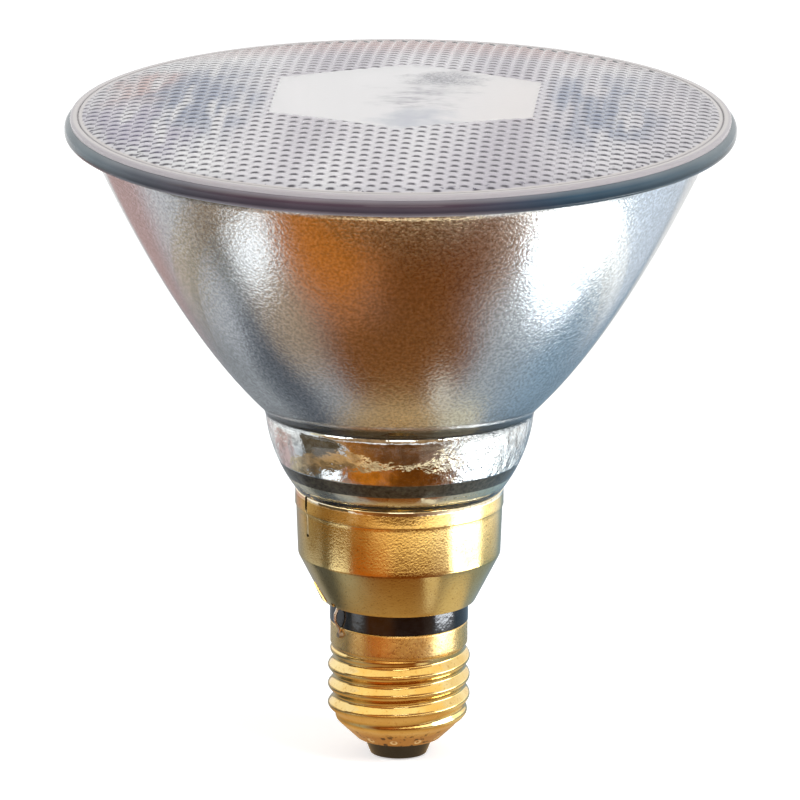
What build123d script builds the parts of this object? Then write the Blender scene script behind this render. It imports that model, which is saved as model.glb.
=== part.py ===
"""Reflector lamp with a fluted front lens and a skirted E27 screw cap, in millimetres.

The origin is the middle of the centre contact's underside, and +Z runs along the lamp's axis to the lens.
"""

import os
from math import asin, cos, degrees, radians, sin, sqrt

from build123d import *

os.makedirs("parts", exist_ok=True)

# Centre contact and its solder
contact_radius = 4.2
contact_thickness = 0.65
contact_proud = 0.1
eyelet_radius = 1.1
eyelet_bore_radius = 0.55
eyelet_stand = 0.6
solder_depth = 1.2

# Black glass plug in the shell's foot
plug_tip_radius = 5.2
plug_neck_radius = 6.45
plug_tip_height = 3.0
plug_height = 3.9

# Brass screw shell
shell_wall = 0.5
shell_foot_radius = 7.8
shell_cone_radius = 10.5
shell_cone_height = 2.7
shell_bend_radius = 11.5
shell_bend_height = 1.3
shell_curl_height = 1.7
thread_crest_radius = 13.05
thread_depth = 0.95
thread_pitch = 25.4 / 7
thread_crest_height = 4.6
thread_ridge_width = 2.9
thread_crest_flat = 0.8
thread_zone_height = 18.1
collar_radius = 12.6
collar_height = 4.55

# Black glass ring between shell and skirt
ring_radius = 12.7
ring_height = 3.85
ring_bore_radius = 8.5
ring_waist_radius = 11.0
ring_lip_radius = 11.7
ring_lip_height = 1.2

# Brass skirt
skirt_wall = 0.45
skirt_foot_radius = 14.0
skirt_cone_height = 8.9
skirt_shoulder_radius = 18.55
skirt_body_height = 9.2
skirt_step_radius = 18.9
skirt_band_radius = 19.1
skirt_band_height = 3.3
skirt_shoulder_round = 1.2
skirt_slit_angle = 207.0
skirt_slit_width = 0.8
skirt_slit_length = 7.7
skirt_tab_angle = 194.0
skirt_tab_width = 3.2
skirt_tab_height = 4.0
skirt_tab_lift = 0.4
skirt_tab_proud = 0.2
skirt_tab_root = 0.25

# Cement between skirt and glass
cement_thickness = 0.8
cement_height = 4.6

# Pressed glass bowl
glass_wall = 2.6
floor_thickness = 3.0
spigot_length = 5.5
floor_radius = 13.0
neck_height = 14.2
neck_bulge_radius = 22.95
neck_top_radius = 24.6
throat_rise = 1.3
throat_radius = 25.2
bowl_depth = 50.2
bowl_rim_radius = 56.9
rim_radius = 61.0
rim_thickness = 3.0
rim_round = 1.2

# Pressed glass lens
lens_flange_radius = 60.0
lens_flange_thickness = 0.9
lens_flange_round = 0.4
lens_seat_gap = 0.3
lens_thickness = 3.2
lens_rise = 4.4
pattern_radius = 58.0
flute_pitch = 2.35
flute_flank = 0.3
flute_height = 0.28
flute_footing = 0.06
pattern_turn = -4.0
window_flutes = 20
window_side = 26.8
window_apex = 24.6

# Filament and its supports
post_radius = 0.9
post_offset = 8.0
post_tail = 1.0
ferrule_radius = 3.3
ferrule_thickness = 0.6
ferrule_wall = 0.5
ferrule_stand = 1.0
coil_radius = 1.0
coil_length = 11.0
filament_tail_radius = 0.3
exhaust_radius = 2.6
exhaust_bore_radius = 1.5
exhaust_length = 8.5
exhaust_tip_wall = 2.0

# Lead wires
lead_radius = 0.3
lead_bow = 0.85
lead_angle = 213.0
lead_slot_width = 1.4
lead_weld_drop = 1.4
lead_bend_radius = 2.5
lead_kink_radius = 0.6
weld_radius = 1.0
weld_height = 0.7
weld_taper = 20.0

# Clearance between round faces that fit in each other
fit_gap = 0.05

# Heights, from the contact's underside to the lens
plug_foot_z = contact_proud
shell_foot_z = plug_foot_z + plug_tip_height
plug_top_z = shell_foot_z + shell_wall + plug_height
collar_foot_z = shell_foot_z + thread_zone_height
collar_top_z = collar_foot_z + collar_height
skirt_foot_z = collar_top_z + ring_height
shoulder_z = skirt_foot_z + skirt_cone_height
step_z = shoulder_z + skirt_body_height
mouth_z = step_z + skirt_band_height
base_z = mouth_z - spigot_length
floor_z = base_z + floor_thickness
neck_top_z = mouth_z + neck_height
throat_z = neck_top_z + throat_rise
rim_z = throat_z + bowl_depth
seat_z = rim_z + rim_thickness
land_z = seat_z + lens_flange_thickness
lens_top_z = land_z + lens_rise

# Radii that follow from others
root_radius = thread_crest_radius - thread_depth
spigot_radius = skirt_step_radius - skirt_wall - cement_thickness
neck_foot_radius = skirt_band_radius - 2 * fit_gap
lens_radius = (pattern_radius**2 + lens_rise**2) / (2 * lens_rise)
lens_centre_z = lens_top_z - lens_radius

# The bowl is a paraboloid, and the filament sits at the focus of its mirrored inside
throat_slope = (bowl_rim_radius**2 - throat_radius**2) / (2 * bowl_depth * throat_radius)
rim_slope = throat_slope * throat_radius / bowl_rim_radius
inner_throat_radius = throat_radius - glass_wall * sqrt(1 + throat_slope**2)
inner_rim_radius = bowl_rim_radius - glass_wall * sqrt(1 + rim_slope**2)
inner_latus = (inner_rim_radius**2 - inner_throat_radius**2) / bowl_depth
focus_z = throat_z - inner_throat_radius**2 / inner_latus + inner_latus / 4
post_top_z = focus_z + 2 * coil_radius
lens_spigot_radius = inner_rim_radius - lens_seat_gap


def parabola(start, end, latus):
    """Arc of a parabola about the Z axis, in the XZ plane, as an exact quadratic curve."""
    control_radius = (start[0] + end[0]) / 2
    control_z = start[1] + start[0] * (end[0] - start[0]) / latus
    return Bezier(start, (control_radius, control_z), end)


# Upright plane through the axis that holds the filament, its posts and both lead wires
lead_direction = (cos(radians(lead_angle)), sin(radians(lead_angle)), 0)
lead_plane = Plane(origin=(0, 0, 0), x_dir=lead_direction, z_dir=(lead_direction[1], -lead_direction[0], 0))
post_centres = {
    "left": (post_offset * lead_direction[0], post_offset * lead_direction[1]),
    "right": (-post_offset * lead_direction[0], -post_offset * lead_direction[1]),
}


# Reflector bowl: paraboloid, rounded neck, spigot for the cap, and a floor with three holes
outer_latus = (bowl_rim_radius**2 - throat_radius**2) / bowl_depth
neck_middle_z = mouth_z + neck_height / 2
well_top_z = throat_z - glass_wall
with BuildPart() as reflector_bowl:
    with BuildSketch(Plane.XZ):
        with BuildLine():
            Polyline(
                (0, base_z),
                (spigot_radius, base_z),
                (spigot_radius, mouth_z),
                (neck_foot_radius, mouth_z),
            )
            ThreePointArc(
                (neck_foot_radius, mouth_z),
                (neck_bulge_radius, neck_middle_z),
                (neck_top_radius, neck_top_z),
            )
            Line((neck_top_radius, neck_top_z), (throat_radius, throat_z))
            parabola((throat_radius, throat_z), (bowl_rim_radius, rim_z), outer_latus)
            Polyline(
                (bowl_rim_radius, rim_z),
                (rim_radius, rim_z),
                (rim_radius, seat_z),
                (inner_rim_radius, seat_z),
                (inner_rim_radius, rim_z),
            )
            parabola((inner_rim_radius, rim_z), (inner_throat_radius, throat_z), inner_latus)
            Line((inner_throat_radius, throat_z), (inner_throat_radius, well_top_z))
            Bezier(
                (inner_throat_radius, well_top_z), (inner_throat_radius, mouth_z), (floor_radius, floor_z)
            )
            Polyline((floor_radius, floor_z), (0, floor_z), (0, base_z))
        face = make_face()
        fillet(face.vertices().group_by(Axis.X)[-1], rim_round)
    revolve(axis=Axis.Z)
    with BuildSketch(Plane.XY.offset(base_z)):
        Circle(exhaust_bore_radius)
        with Locations(*post_centres.values()):
            Circle(post_radius + ferrule_wall + fit_gap)
    extrude(amount=floor_thickness, mode=Mode.SUBTRACT)
reflector_bowl.part.label = "reflector_bowl"
export_step(reflector_bowl.part, "parts/reflector_bowl.step")

# Lens relief: parallel flutes bent over the dome, left out at the rim and in the hexagonal window
flute_x_dir = (cos(radians(pattern_turn)), sin(radians(pattern_turn)), 0)
flute_y_dir = (-sin(radians(pattern_turn)), cos(radians(pattern_turn)), 0)
flute_tilt = asin(pattern_radius / lens_radius) + flute_pitch / lens_radius
flute_radial = (flute_y_dir[0] * sin(flute_tilt), flute_y_dir[1] * sin(flute_tilt), cos(flute_tilt))
flute_normal = Vector(flute_x_dir).cross(Vector(flute_radial))
flute_plane = Plane(origin=(0, 0, lens_centre_z), x_dir=flute_x_dir, z_dir=flute_normal)
flute_axis = Axis((0, 0, lens_centre_z), flute_x_dir)
flute_count = int(pattern_radius / flute_pitch)
valley_radius = lens_radius + flute_footing
buried_radius = lens_radius - lens_thickness / 2
window_half = (window_flutes + flute_flank) * flute_pitch / 2
window_corners = (
    (window_half, window_side / 2),
    (0, window_apex),
    (-window_half, window_side / 2),
    (-window_half, -window_side / 2),
    (0, -window_apex),
    (window_half, -window_side / 2),
)
with BuildPart() as lens_relief:
    with BuildSketch(flute_plane):
        with BuildLine():
            for i in range(-flute_count, flute_count):
                flute_x = [(i + share) * flute_pitch for share in (0, flute_flank, 1 - flute_flank, 1)]
                flute_y = [sqrt(valley_radius**2 - x**2) for x in flute_x]
                Polyline(
                    (flute_x[0], flute_y[0]),
                    (flute_x[1], flute_y[1] + flute_height),
                    (flute_x[2], flute_y[2] + flute_height),
                    (flute_x[3], flute_y[3]),
                )
            edge_x = flute_count * flute_pitch
            edge_y = sqrt(valley_radius**2 - edge_x**2)
            buried_y = sqrt(buried_radius**2 - edge_x**2)
            Line((edge_x, edge_y), (edge_x, buried_y))
            ThreePointArc((edge_x, buried_y), (0, buried_radius), (-edge_x, buried_y))
            Line((-edge_x, buried_y), (-edge_x, edge_y))
        make_face()
    revolve(axis=flute_axis, revolution_arc=2 * degrees(flute_tilt))
    with BuildSketch(Plane.XY.offset(seat_z)):
        Circle(pattern_radius)
        Polygon(*window_corners, rotation=pattern_turn, align=None, mode=Mode.SUBTRACT)
    extrude(amount=lens_rise + lens_thickness, mode=Mode.INTERSECT)

# Front lens: domed disc with a seating flange and a spigot inside the bowl's rim
lens_inner_radius = lens_radius - lens_thickness
lens_spigot_z = lens_centre_z + sqrt(lens_inner_radius**2 - lens_spigot_radius**2)
dome_mid_x = pattern_radius / 2
dome_mid_z = lens_centre_z + sqrt(lens_radius**2 - dome_mid_x**2)
inner_mid_x = lens_spigot_radius / 2
inner_mid_z = lens_centre_z + sqrt(lens_inner_radius**2 - inner_mid_x**2)
with BuildPart() as front_lens:
    with BuildSketch(Plane.XZ):
        with BuildLine():
            ThreePointArc((0, lens_top_z), (dome_mid_x, dome_mid_z), (pattern_radius, land_z))
            Polyline(
                (pattern_radius, land_z),
                (lens_flange_radius, land_z),
                (lens_flange_radius, seat_z),
                (lens_spigot_radius, seat_z),
                (lens_spigot_radius, lens_spigot_z),
            )
            ThreePointArc(
                (lens_spigot_radius, lens_spigot_z),
                (inner_mid_x, inner_mid_z),
                (0, lens_top_z - lens_thickness),
            )
            Line((0, lens_top_z - lens_thickness), (0, lens_top_z))
        face = make_face()
        fillet(face.vertices().sort_by_distance((lens_flange_radius, land_z, 0))[0], lens_flange_round)
    revolve(axis=Axis.Z)
    add(lens_relief.part)
front_lens.part.label = "front_lens"
export_step(front_lens.part, "parts/front_lens.step")

# Exhaust tube, sealed off at its tip
exhaust_tip_z = base_z - exhaust_length
with BuildPart() as exhaust_tube:
    with BuildSketch(Plane.XZ):
        with BuildLine():
            Polyline(
                (exhaust_bore_radius, base_z),
                (exhaust_radius, base_z),
                (exhaust_radius, exhaust_tip_z + exhaust_radius),
                (0, exhaust_tip_z),
                (0, exhaust_tip_z + exhaust_tip_wall),
                (exhaust_bore_radius, exhaust_tip_z + exhaust_tip_wall + exhaust_bore_radius),
                close=True,
            )
        make_face()
    revolve(axis=Axis.Z)
exhaust_tube.part.label = "exhaust_tube"
export_step(exhaust_tube.part, "parts/exhaust_tube.step")

# Two metal ferrules through the floor, and the posts that stand in them and hold the filament
post_foot_z = base_z - ferrule_thickness - post_tail
filament_axis = Axis((0, 0, focus_z), lead_direction)
for side, centre in post_centres.items():
    with BuildPart() as ferrule:
        with BuildSketch(Plane.XY.offset(base_z)):
            with Locations(centre):
                Circle(ferrule_radius)
        extrude(amount=-ferrule_thickness)
        with BuildSketch(Plane.XY.offset(base_z)):
            with Locations(centre):
                Circle(post_radius + ferrule_wall)
        extrude(amount=floor_thickness + ferrule_stand)
        with BuildSketch(Plane.XY.offset(base_z - ferrule_thickness)):
            with Locations(centre):
                Circle(post_radius)
        extrude(amount=ferrule_thickness + floor_thickness + ferrule_stand, mode=Mode.SUBTRACT)
    ferrule.part.label = f"ferrule_{side}"
    export_step(ferrule.part, f"parts/ferrule_{side}.step")

    with BuildPart() as post:
        with BuildSketch(Plane.XY.offset(post_foot_z)):
            with Locations(centre):
                Circle(post_radius)
        extrude(amount=post_top_z - post_foot_z)
        with BuildSketch(Plane(origin=(0, 0, focus_z), z_dir=lead_direction)):
            Circle(filament_tail_radius)
        extrude(amount=post_offset + post_radius, both=True, mode=Mode.SUBTRACT)
    post.part.label = f"filament_post_{side}"
    export_step(post.part, f"parts/filament_post_{side}.step")

# Filament: the coil's outer form between two straight tails
tail_end = post_offset + post_radius
coil_end = coil_length / 2
with BuildPart() as filament:
    with BuildSketch(lead_plane):
        with BuildLine():
            Polyline(
                (-tail_end, focus_z),
                (tail_end, focus_z),
                (tail_end, focus_z + filament_tail_radius),
                (coil_end + coil_radius, focus_z + filament_tail_radius),
                (coil_end, focus_z + coil_radius),
                (-coil_end, focus_z + coil_radius),
                (-coil_end - coil_radius, focus_z + filament_tail_radius),
                (-tail_end, focus_z + filament_tail_radius),
                close=True,
            )
        make_face()
    revolve(axis=filament_axis)
filament.part.label = "filament"
export_step(filament.part, "parts/filament.step")

# Cap skirt: slit mouth, tapered body, rounded shoulder, cone with a tab, and a foot with a lead slot
flange_hole_radius = ring_waist_radius + fit_gap
inner_cone_radius = skirt_foot_radius - skirt_wall
inner_shoulder_radius = skirt_shoulder_radius - skirt_wall
inner_step_radius = skirt_step_radius - skirt_wall
inner_band_radius = skirt_band_radius - skirt_wall
tab_direction = (cos(radians(skirt_tab_angle)), sin(radians(skirt_tab_angle)), 0)
cone_slope = (skirt_shoulder_radius - skirt_foot_radius) / skirt_cone_height
tab_normal = Vector(*tab_direction) - Vector(0, 0, cone_slope)
tab_plane = Plane(
    origin=Vector(0, 0, skirt_foot_z) + Vector(*tab_direction) * skirt_foot_radius,
    x_dir=(-tab_direction[1], tab_direction[0], 0),
    z_dir=tab_normal,
)
with BuildPart() as cap_skirt:
    with BuildSketch(Plane.XZ):
        with BuildLine():
            Polyline(
                (flange_hole_radius, skirt_foot_z),
                (skirt_foot_radius, skirt_foot_z),
                (skirt_shoulder_radius, shoulder_z),
                (skirt_step_radius, step_z),
                (skirt_band_radius, step_z),
                (skirt_band_radius, mouth_z),
                (inner_band_radius, mouth_z),
                (inner_band_radius, step_z + skirt_wall),
                (inner_step_radius, step_z + skirt_wall),
                (inner_shoulder_radius, shoulder_z),
                (inner_cone_radius, skirt_foot_z + skirt_wall),
                (flange_hole_radius, skirt_foot_z + skirt_wall),
                close=True,
            )
        face = make_face()
        shoulder_corner = face.vertices().sort_by_distance((skirt_shoulder_radius, shoulder_z, 0))[0]
        fillet(shoulder_corner, skirt_shoulder_round)
    revolve(axis=Axis.Z)
    with BuildSketch(Plane.XY.offset(skirt_foot_z)):
        with Locations(Rotation(0, 0, lead_angle)):
            with Locations(((ring_radius + skirt_foot_radius) / 2, 0)):
                Rectangle(skirt_foot_radius - ring_radius + 2 * lead_radius, lead_slot_width)
    extrude(amount=2 * skirt_wall, mode=Mode.SUBTRACT)
    with BuildSketch(Plane.XY.offset(mouth_z)):
        with Locations(Rotation(0, 0, skirt_slit_angle)):
            with Locations((skirt_step_radius, 0)):
                Rectangle(4 * skirt_wall, skirt_slit_width)
    extrude(amount=-skirt_slit_length, mode=Mode.SUBTRACT)
    with BuildSketch(tab_plane.offset(-skirt_tab_root)):
        with Locations((0, skirt_tab_lift)):
            Polygon((-skirt_tab_width / 2, 0), (skirt_tab_width / 2, 0), (0, skirt_tab_height), align=None)
    extrude(amount=skirt_tab_proud + skirt_tab_root)
cap_skirt.part.label = "cap_skirt"
export_step(cap_skirt.part, "parts/cap_skirt.step")

# Cement ring that fills the gap between the skirt and the bowl's spigot
cement_top_z = step_z + skirt_wall
cement_foot_z = cement_top_z - cement_height
skirt_taper = (skirt_step_radius - skirt_shoulder_radius) / (step_z + skirt_wall - shoulder_z)
with BuildPart() as cap_cement:
    with BuildSketch(Plane.XZ):
        with BuildLine():
            Polyline(
                (spigot_radius, cement_foot_z),
                (inner_step_radius - skirt_taper * cement_height - fit_gap, cement_foot_z),
                (inner_step_radius - fit_gap, cement_top_z),
                (spigot_radius, cement_top_z),
                close=True,
            )
        make_face()
    revolve(axis=Axis.Z)
cap_cement.part.label = "cap_cement"
export_step(cap_cement.part, "parts/cap_cement.step")

# Insulator ring: a spool that grips the skirt's flange above and the shell's flange below
with BuildPart() as insulator_ring:
    with BuildSketch(Plane.XZ):
        with BuildLine():
            Polyline(
                (ring_bore_radius, collar_top_z - shell_wall - ring_lip_height),
                (ring_lip_radius, collar_top_z - shell_wall - ring_lip_height),
                (ring_lip_radius, collar_top_z - shell_wall),
                (ring_waist_radius, collar_top_z - shell_wall),
                (ring_waist_radius, collar_top_z),
                (ring_radius, collar_top_z),
                (ring_radius, skirt_foot_z),
                (ring_waist_radius, skirt_foot_z),
                (ring_waist_radius, skirt_foot_z + skirt_wall),
                (ring_lip_radius, skirt_foot_z + skirt_wall),
                (ring_lip_radius, skirt_foot_z + skirt_wall + ring_lip_height),
                (ring_bore_radius, skirt_foot_z + skirt_wall + ring_lip_height),
                close=True,
            )
        make_face()
    revolve(axis=Axis.Z)
insulator_ring.part.label = "insulator_ring"
export_step(insulator_ring.part, "parts/insulator_ring.step")

# Screw thread: a right-hand ridge, run out by the shell's foot and the collar
helix_foot_z = shell_foot_z + thread_crest_height - thread_pitch
helix_height = collar_foot_z - helix_foot_z
ridge_half = thread_ridge_width / 2
ridge_sink = shell_wall / 2
bend_z = shell_foot_z + shell_cone_height + shell_bend_height
envelope_radius = thread_crest_radius + fit_gap
with BuildPart() as thread_ridge:
    with BuildLine() as thread_path:
        Helix(thread_pitch, helix_height, root_radius, center=(0, 0, helix_foot_z))
    with BuildSketch(Plane(origin=thread_path.line @ 0, x_dir=(1, 0, 0), z_dir=thread_path.line % 0)):
        with BuildLine():
            Polyline(
                (-ridge_sink, -ridge_half),
                (thread_depth / 2, -thread_pitch / 4),
                (thread_depth, -thread_crest_flat / 2),
                (thread_depth, thread_crest_flat / 2),
                (thread_depth / 2, thread_pitch / 4),
                (-ridge_sink, ridge_half),
                close=True,
            )
        make_face()
    sweep(path=thread_path.line, is_frenet=True)
    with BuildSketch(Plane.XZ):
        with BuildLine():
            Polyline(
                (0, bend_z),
                (shell_bend_radius, bend_z),
                (envelope_radius, bend_z + thread_pitch),
                (envelope_radius, collar_foot_z - thread_depth),
                (root_radius, collar_foot_z + thread_depth),
                (0, collar_foot_z + thread_depth),
                close=True,
            )
        make_face()
    revolve(axis=Axis.Z, mode=Mode.INTERSECT)

# Screw shell: inturned top, plain collar, threaded wall, and a curled foot that grips the glass plug
cone_top_z = bend_z - shell_bend_height
wall_z = bend_z + shell_curl_height
lip_z = shell_foot_z + shell_wall
with BuildPart() as screw_shell:
    with BuildSketch(Plane.XZ):
        with BuildLine():
            Polyline(
                (plug_neck_radius, shell_foot_z),
                (shell_foot_radius, shell_foot_z),
                (shell_cone_radius, cone_top_z),
                (shell_bend_radius, bend_z),
                (root_radius, wall_z),
                (root_radius, collar_foot_z),
                (collar_radius, collar_foot_z),
                (collar_radius, collar_top_z),
                (flange_hole_radius, collar_top_z),
                (flange_hole_radius, collar_top_z - shell_wall),
                (collar_radius - shell_wall, collar_top_z - shell_wall),
                (collar_radius - shell_wall, collar_foot_z + shell_wall),
                (root_radius - shell_wall, collar_foot_z + shell_wall),
                (root_radius - shell_wall, wall_z),
                (shell_bend_radius - shell_wall, bend_z),
                (shell_cone_radius - shell_wall, cone_top_z + shell_wall / 2),
                (shell_foot_radius - shell_wall / 4, lip_z),
                (plug_neck_radius, lip_z),
                close=True,
            )
        make_face()
    revolve(axis=Axis.Z)
    add(thread_ridge.part)
screw_shell.part.label = "screw_shell"
export_step(screw_shell.part, "parts/screw_shell.step")

# Base plug: black glass cast around the shell's curled lip, with a recess and a hole for the contact
plug_hole_radius = eyelet_radius + fit_gap
plug_waist_radius = plug_neck_radius - fit_gap
plug_seat_radius = shell_foot_radius - shell_wall / 2
plug_top_radius = shell_bend_radius - 2 * shell_wall
with BuildPart() as base_plug:
    with BuildSketch(Plane.XZ):
        with BuildLine():
            Polyline(
                (plug_hole_radius, contact_thickness),
                (contact_radius + fit_gap, contact_thickness),
                (contact_radius + fit_gap, plug_foot_z),
                (plug_tip_radius, plug_foot_z),
                (plug_waist_radius, shell_foot_z),
                (plug_waist_radius, lip_z),
                (plug_seat_radius, lip_z),
                (plug_top_radius, plug_top_z),
                (plug_hole_radius, plug_top_z),
                close=True,
            )
        make_face()
    revolve(axis=Axis.Z)
base_plug.part.label = "base_plug"
export_step(base_plug.part, "parts/base_plug.step")

# Centre contact: a flat brass disc with an eyelet tube up through the plug
eyelet_top_z = plug_top_z + eyelet_stand
with BuildPart() as centre_contact:
    with BuildSketch(Plane.XY):
        Circle(contact_radius)
    extrude(amount=contact_thickness)
    with BuildSketch(Plane.XY.offset(contact_thickness)):
        Circle(eyelet_radius)
    extrude(amount=eyelet_top_z - contact_thickness)
    with BuildSketch(Plane.XY):
        Circle(eyelet_bore_radius)
    extrude(amount=eyelet_top_z, mode=Mode.SUBTRACT)
centre_contact.part.label = "centre_contact"
export_step(centre_contact.part, "parts/centre_contact.step")

# Solder that closes the eyelet, flush with the contact
with BuildPart() as contact_solder:
    with BuildSketch(Plane.XY):
        Circle(eyelet_bore_radius)
    extrude(amount=solder_depth)
contact_solder.part.label = "contact_solder"
export_step(contact_solder.part, "parts/contact_solder.step")

# Centre lead wire, from the right post down into the eyelet
lead_bend_z = post_foot_z - 2 * lead_bend_radius
lead_straight_z = (eyelet_top_z + collar_top_z) / 2
with BuildPart() as centre_lead_wire:
    with BuildLine(lead_plane) as centre_lead_path:
        FilletPolyline(
            (-post_offset, post_foot_z),
            (-post_offset, lead_bend_z),
            (0, lead_straight_z),
            (0, solder_depth),
            radius=lead_bend_radius,
        )
    with BuildSketch(Plane.XY.offset(post_foot_z)):
        with Locations(post_centres["right"]):
            Circle(lead_radius)
    sweep(path=centre_lead_path.line)
centre_lead_wire.part.label = "centre_lead_wire"
export_step(centre_lead_wire.part, "parts/centre_lead_wire.step")

# Side lead wire, from the left post out through the skirt's slot and over the ring to the collar
lead_ring_radius = ring_radius + lead_radius + fit_gap
lead_collar_radius = collar_radius + lead_radius + fit_gap
lead_end_z = collar_top_z - lead_weld_drop
with BuildPart() as side_lead_wire:
    with BuildLine(lead_plane) as side_lead_path:
        FilletPolyline(
            (post_offset, post_foot_z),
            (post_offset, lead_bend_z),
            (lead_ring_radius, skirt_foot_z + skirt_wall),
            (lead_ring_radius + lead_bow, skirt_foot_z - ring_height / 3),
            (lead_ring_radius + lead_bow, collar_top_z + ring_height / 3),
            (lead_collar_radius, collar_top_z - lead_radius),
            (lead_collar_radius, lead_end_z),
            radius=lead_kink_radius,
        )
    with BuildSketch(Plane.XY.offset(post_foot_z)):
        with Locations(post_centres["left"]):
            Circle(lead_radius)
    sweep(path=side_lead_path.line)
side_lead_wire.part.label = "side_lead_wire"
export_step(side_lead_wire.part, "parts/side_lead_wire.step")

# Weld bead that joins the side lead wire to the collar
weld_plane = Plane(origin=(0, 0, lead_end_z), z_dir=lead_direction)
with BuildPart() as side_weld:
    with BuildSketch(weld_plane.offset(collar_radius - weld_height)):
        Circle(weld_radius)
    extrude(amount=2 * weld_height, taper=weld_taper)
    with BuildSketch(Plane.XY.offset(collar_foot_z)):
        Circle(collar_radius)
    extrude(amount=collar_height, mode=Mode.SUBTRACT)
    add(side_lead_wire.part, mode=Mode.SUBTRACT)
side_weld.part.label = "side_weld"
export_step(side_weld.part, "parts/side_weld.step")
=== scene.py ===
"""Looks of the reflector lamp: pressed glass, mirror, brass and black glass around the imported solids."""
import math

import bpy
import numpy as np
from mathutils import Matrix, Vector


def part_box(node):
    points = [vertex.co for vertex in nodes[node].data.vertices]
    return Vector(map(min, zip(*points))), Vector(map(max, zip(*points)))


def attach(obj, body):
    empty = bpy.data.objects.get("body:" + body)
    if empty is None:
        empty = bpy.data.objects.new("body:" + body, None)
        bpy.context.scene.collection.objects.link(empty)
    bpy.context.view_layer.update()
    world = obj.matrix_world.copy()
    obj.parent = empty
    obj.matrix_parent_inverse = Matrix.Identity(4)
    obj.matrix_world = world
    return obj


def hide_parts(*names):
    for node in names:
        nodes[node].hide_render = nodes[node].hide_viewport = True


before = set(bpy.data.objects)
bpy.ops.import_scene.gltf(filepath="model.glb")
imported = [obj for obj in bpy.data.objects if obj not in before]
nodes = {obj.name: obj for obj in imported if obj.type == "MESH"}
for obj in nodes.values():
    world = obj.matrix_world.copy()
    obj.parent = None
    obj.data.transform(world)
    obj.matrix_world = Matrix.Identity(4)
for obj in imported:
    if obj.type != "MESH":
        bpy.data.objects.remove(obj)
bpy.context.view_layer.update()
scene = bpy.context.scene

# Sizes in millimetres, as in the solids
MM = 0.001
shell_foot_z = 3.1
collar_foot_z = 21.2
collar_top_z = 25.75
skirt_foot_z = 29.6
shoulder_z = 38.5
step_z = 47.7
mouth_z = 51.0
base_z = 45.5
floor_z = 48.5
neck_top_z = 65.2
throat_z = 66.5
rim_z = 116.7
seat_z = 119.7
land_z = 120.6
lens_top_z = 125.0
thread_pitch = 25.4 / 7
ring_bore_radius = 11.05
collar_radius = 12.6
lead_angle = math.radians(213.0)

# Lens: staggered cells around a bare six-sided window a little off the middle, and a groove and a flange
dome_radius = 58.0
field_radius = 57.4
groove_radius = 58.55
groove_half = 0.15
groove_depth = 0.2
lens_flange_radius = 60.0
lens_thickness = 3.2
spigot_play = 0.3
cell_width = 2.35
cell_length = 2.71
cell_rounding = 3.4
cell_height = 0.28
pattern_turn = math.radians(-4.0)
window_half = 23.7
window_side = 13.3
window_apex = 24.0
window_middle = (0.9, -1.0)
grid_count = 272

# Staking dimples around the screw shell's foot
dimple_count = 12
dimple_turn = math.radians(-95.8)
dimple_radius = 8.6
dimple_z = 4.1
dimple_size = 0.5
dimple_depth = 0.4
dimple_face_radius = 8.2


# Mesh helpers


def smooth(mesh):
    """Smooth shading, with sharp edges kept."""
    mesh.shade_smooth()
    mesh.set_sharp_from_angle(angle=math.radians(40))


def mesh_object(name, points, faces, face_materials, materials):
    """A smooth-shaded object from points in millimetres, with a material number for each face."""
    mesh = bpy.data.meshes.new(name)
    mesh.from_pydata((np.asarray(points) * MM).tolist(), [], [tuple(face) for face in faces])
    for material in materials:
        mesh.materials.append(material)
    mesh.polygons.foreach_set("material_index", np.asarray(face_materials, dtype=np.int32))
    smooth(mesh)
    made = bpy.data.objects.new(name, mesh)
    scene.collection.objects.link(made)
    return made


def rounded(corners, steps=5):
    """Points of a line whose corners, given as radius, height and rounding, are turned into arcs."""
    points = []
    for i, (r, z, rounding) in enumerate(corners):
        if rounding == 0 or i in (0, len(corners) - 1):
            points.append((r, z))
            continue
        here = np.array((r, z))
        back = np.array(corners[i - 1][:2]) - here
        ahead = np.array(corners[i + 1][:2]) - here
        back = back / np.linalg.norm(back)
        ahead = ahead / np.linalg.norm(ahead)
        half = math.acos(np.clip(back @ ahead, -1, 1)) / 2
        reach = rounding / math.tan(half)
        middle = (back + ahead) / np.linalg.norm(back + ahead)
        centre = here + middle * rounding / math.sin(half)
        first = here + back * reach - centre
        last = here + ahead * reach - centre
        for share in np.linspace(0, 1, steps):
            turn = first * (1 - share) + last * share
            points.append(tuple(centre + turn / np.linalg.norm(turn) * rounding))
    return points


def subdivided(points, longest):
    """The same line with its long runs divided."""
    result = [points[0]]
    for (r0, z0), (r1, z1) in zip(points, points[1:]):
        count = max(1, math.ceil(math.hypot(r1 - r0, z1 - z0) / longest))
        for k in range(1, count + 1):
            result.append((r0 + (r1 - r0) * k / count, z0 + (z1 - z0) * k / count))
    return result


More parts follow.
